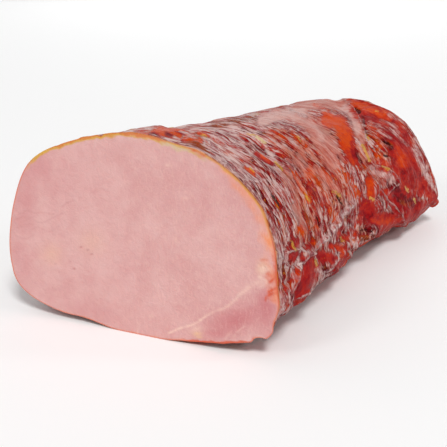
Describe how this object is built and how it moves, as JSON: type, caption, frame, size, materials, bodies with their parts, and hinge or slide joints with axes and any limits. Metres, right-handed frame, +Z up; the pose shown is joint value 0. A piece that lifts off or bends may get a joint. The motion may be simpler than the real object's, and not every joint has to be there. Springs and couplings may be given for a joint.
{
  "type": "smoked pork loin",
  "caption": "Boneless smoked pork loin with a flat cut face at one end and a rounded, creased far end, lying on its belly.",
  "frame": {"origin": "centre of the underside of the loin's box, on the surface it rests on", "axes": "+Z up, +Y along the loin from its cut face to its rounded end, +X to the right as seen from the cut face"},
  "size_m": [0.124, 0.197, 0.0778],
  "materials": {
    "smoked_skin": "wet, wrinkled, red-brown smoked outside with a mauve-grey sheen and bits of yellow fat",
    "cut_meat": "moist, pale pink cut meat, faintly mottled, with a cream seam of fat"
  },
  "bodies": {
    "root": {"smoked_loin": "smoked_skin"}
  },
  "joints": []
}
